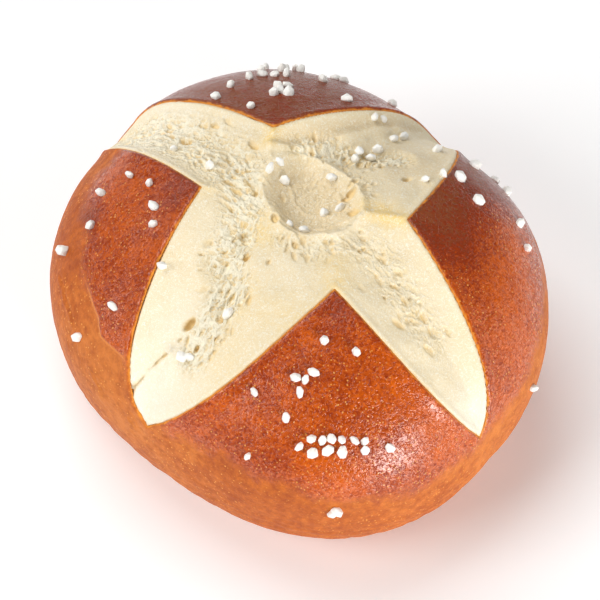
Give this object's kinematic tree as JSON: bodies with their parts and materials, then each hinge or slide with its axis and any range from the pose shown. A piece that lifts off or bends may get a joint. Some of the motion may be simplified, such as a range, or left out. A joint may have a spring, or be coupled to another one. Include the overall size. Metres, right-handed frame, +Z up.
{
  "type": "pretzel roll",
  "caption": "Round pretzel roll: a domed, flat-based bun with a cross cut opened to pale crumb on top, strewn with coarse salt.",
  "frame": {"origin": "middle of the box on the plane of the flat base", "axes": "+Z up out of the cut crown, -Y the front, where a row of salt lies low on the crust, +X to its right"},
  "size_m": [0.0958, 0.1012, 0.0506],
  "materials": {
    "crust": "baked lye crust, semi-gloss on top and matte at the sides",
    "crumb": "torn pale crumb, matte",
    "salt": "coarse white salt crystals"
  },
  "bodies": {
    "root": {"pretzel_roll": "crust"}
  },
  "joints": []
}
